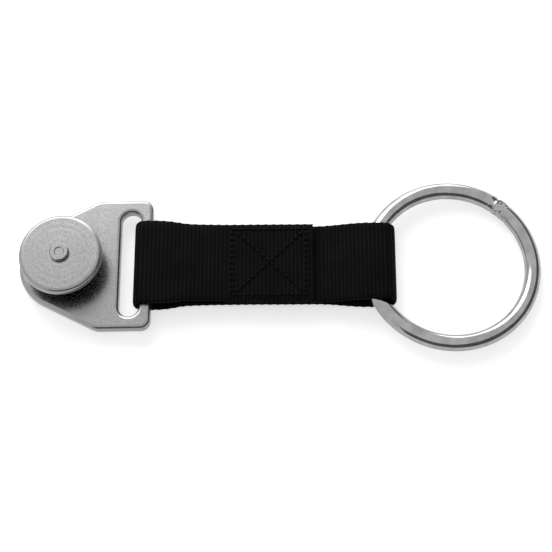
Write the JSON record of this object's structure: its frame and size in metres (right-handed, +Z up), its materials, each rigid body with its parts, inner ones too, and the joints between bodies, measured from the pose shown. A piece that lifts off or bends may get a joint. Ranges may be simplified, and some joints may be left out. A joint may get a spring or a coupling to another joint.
{
  "type": "key organiser",
  "caption": "Key holder: slotted steel hang plate with a riveted button stud, a box-stitched webbing strap looped through it, and a welded round ring.",
  "frame": {"origin": "centre of the bounding box's base: on the resting plane, midway along the whole length and across the width", "axes": "+X along the strap from the stud to the ring, +Z up out of the surface that it lies on, on the stud's side"},
  "size_m": [0.1596, 0.055, 0.015],
  "materials": {
    "plated_steel": "satin plated, faintly mottled, rounded edges",
    "polished_steel": "polished nickel plate over a welded wire ring",
    "black_webbing": "ribbed woven nylon webbing",
    "black_thread": "bonded sewing thread"
  },
  "bodies": {
    "hang_plate": {"hang_plate": "plated_steel", "knob_post": "plated_steel", "knob_disc": "plated_steel"},
    "strap_plate_end": {"strap_plate_loop": "black_webbing"},
    "strap_sewn_part": {"strap_base_layer": "black_webbing", "strap_inner_layer": "black_webbing", "strap_top_layer": "black_webbing", "stitch_box_front": "black_thread", "stitch_cross_front": "black_thread", "stitch_box_back": "black_thread", "stitch_cross_back": "black_thread"},
    "strap_ring_end": {"strap_ring_loop": "black_webbing"},
    "ring": {"ring": "polished_steel"}
  },
  "joints": [
    {"name": "strap_pivot", "type": "hinge", "parent": "hang_plate", "child": "strap_plate_end", "pos_m": [-0.04089, 0, 0.00379], "axis": [0, 1, 0], "range_deg": [-100, 130]},
    {"name": "strap_bend_plate", "type": "hinge", "parent": "strap_plate_end", "child": "strap_sewn_part", "pos_m": [-0.01909, 0, 0.00419], "axis": [0, 1, 0], "range_deg": [-60, 60]},
    {"name": "strap_bend_ring", "type": "hinge", "parent": "strap_sewn_part", "child": "strap_ring_end", "pos_m": [0.01272, 0, 0.00393], "axis": [0, 1, 0], "range_deg": [-75, 75]},
    {"name": "ring_spin", "type": "hinge", "parent": "strap_ring_end", "child": "ring", "pos_m": [0.05231, 0, 0.00342], "axis": [0.0369, 0, 0.9993], "continuous": true}
  ]
}
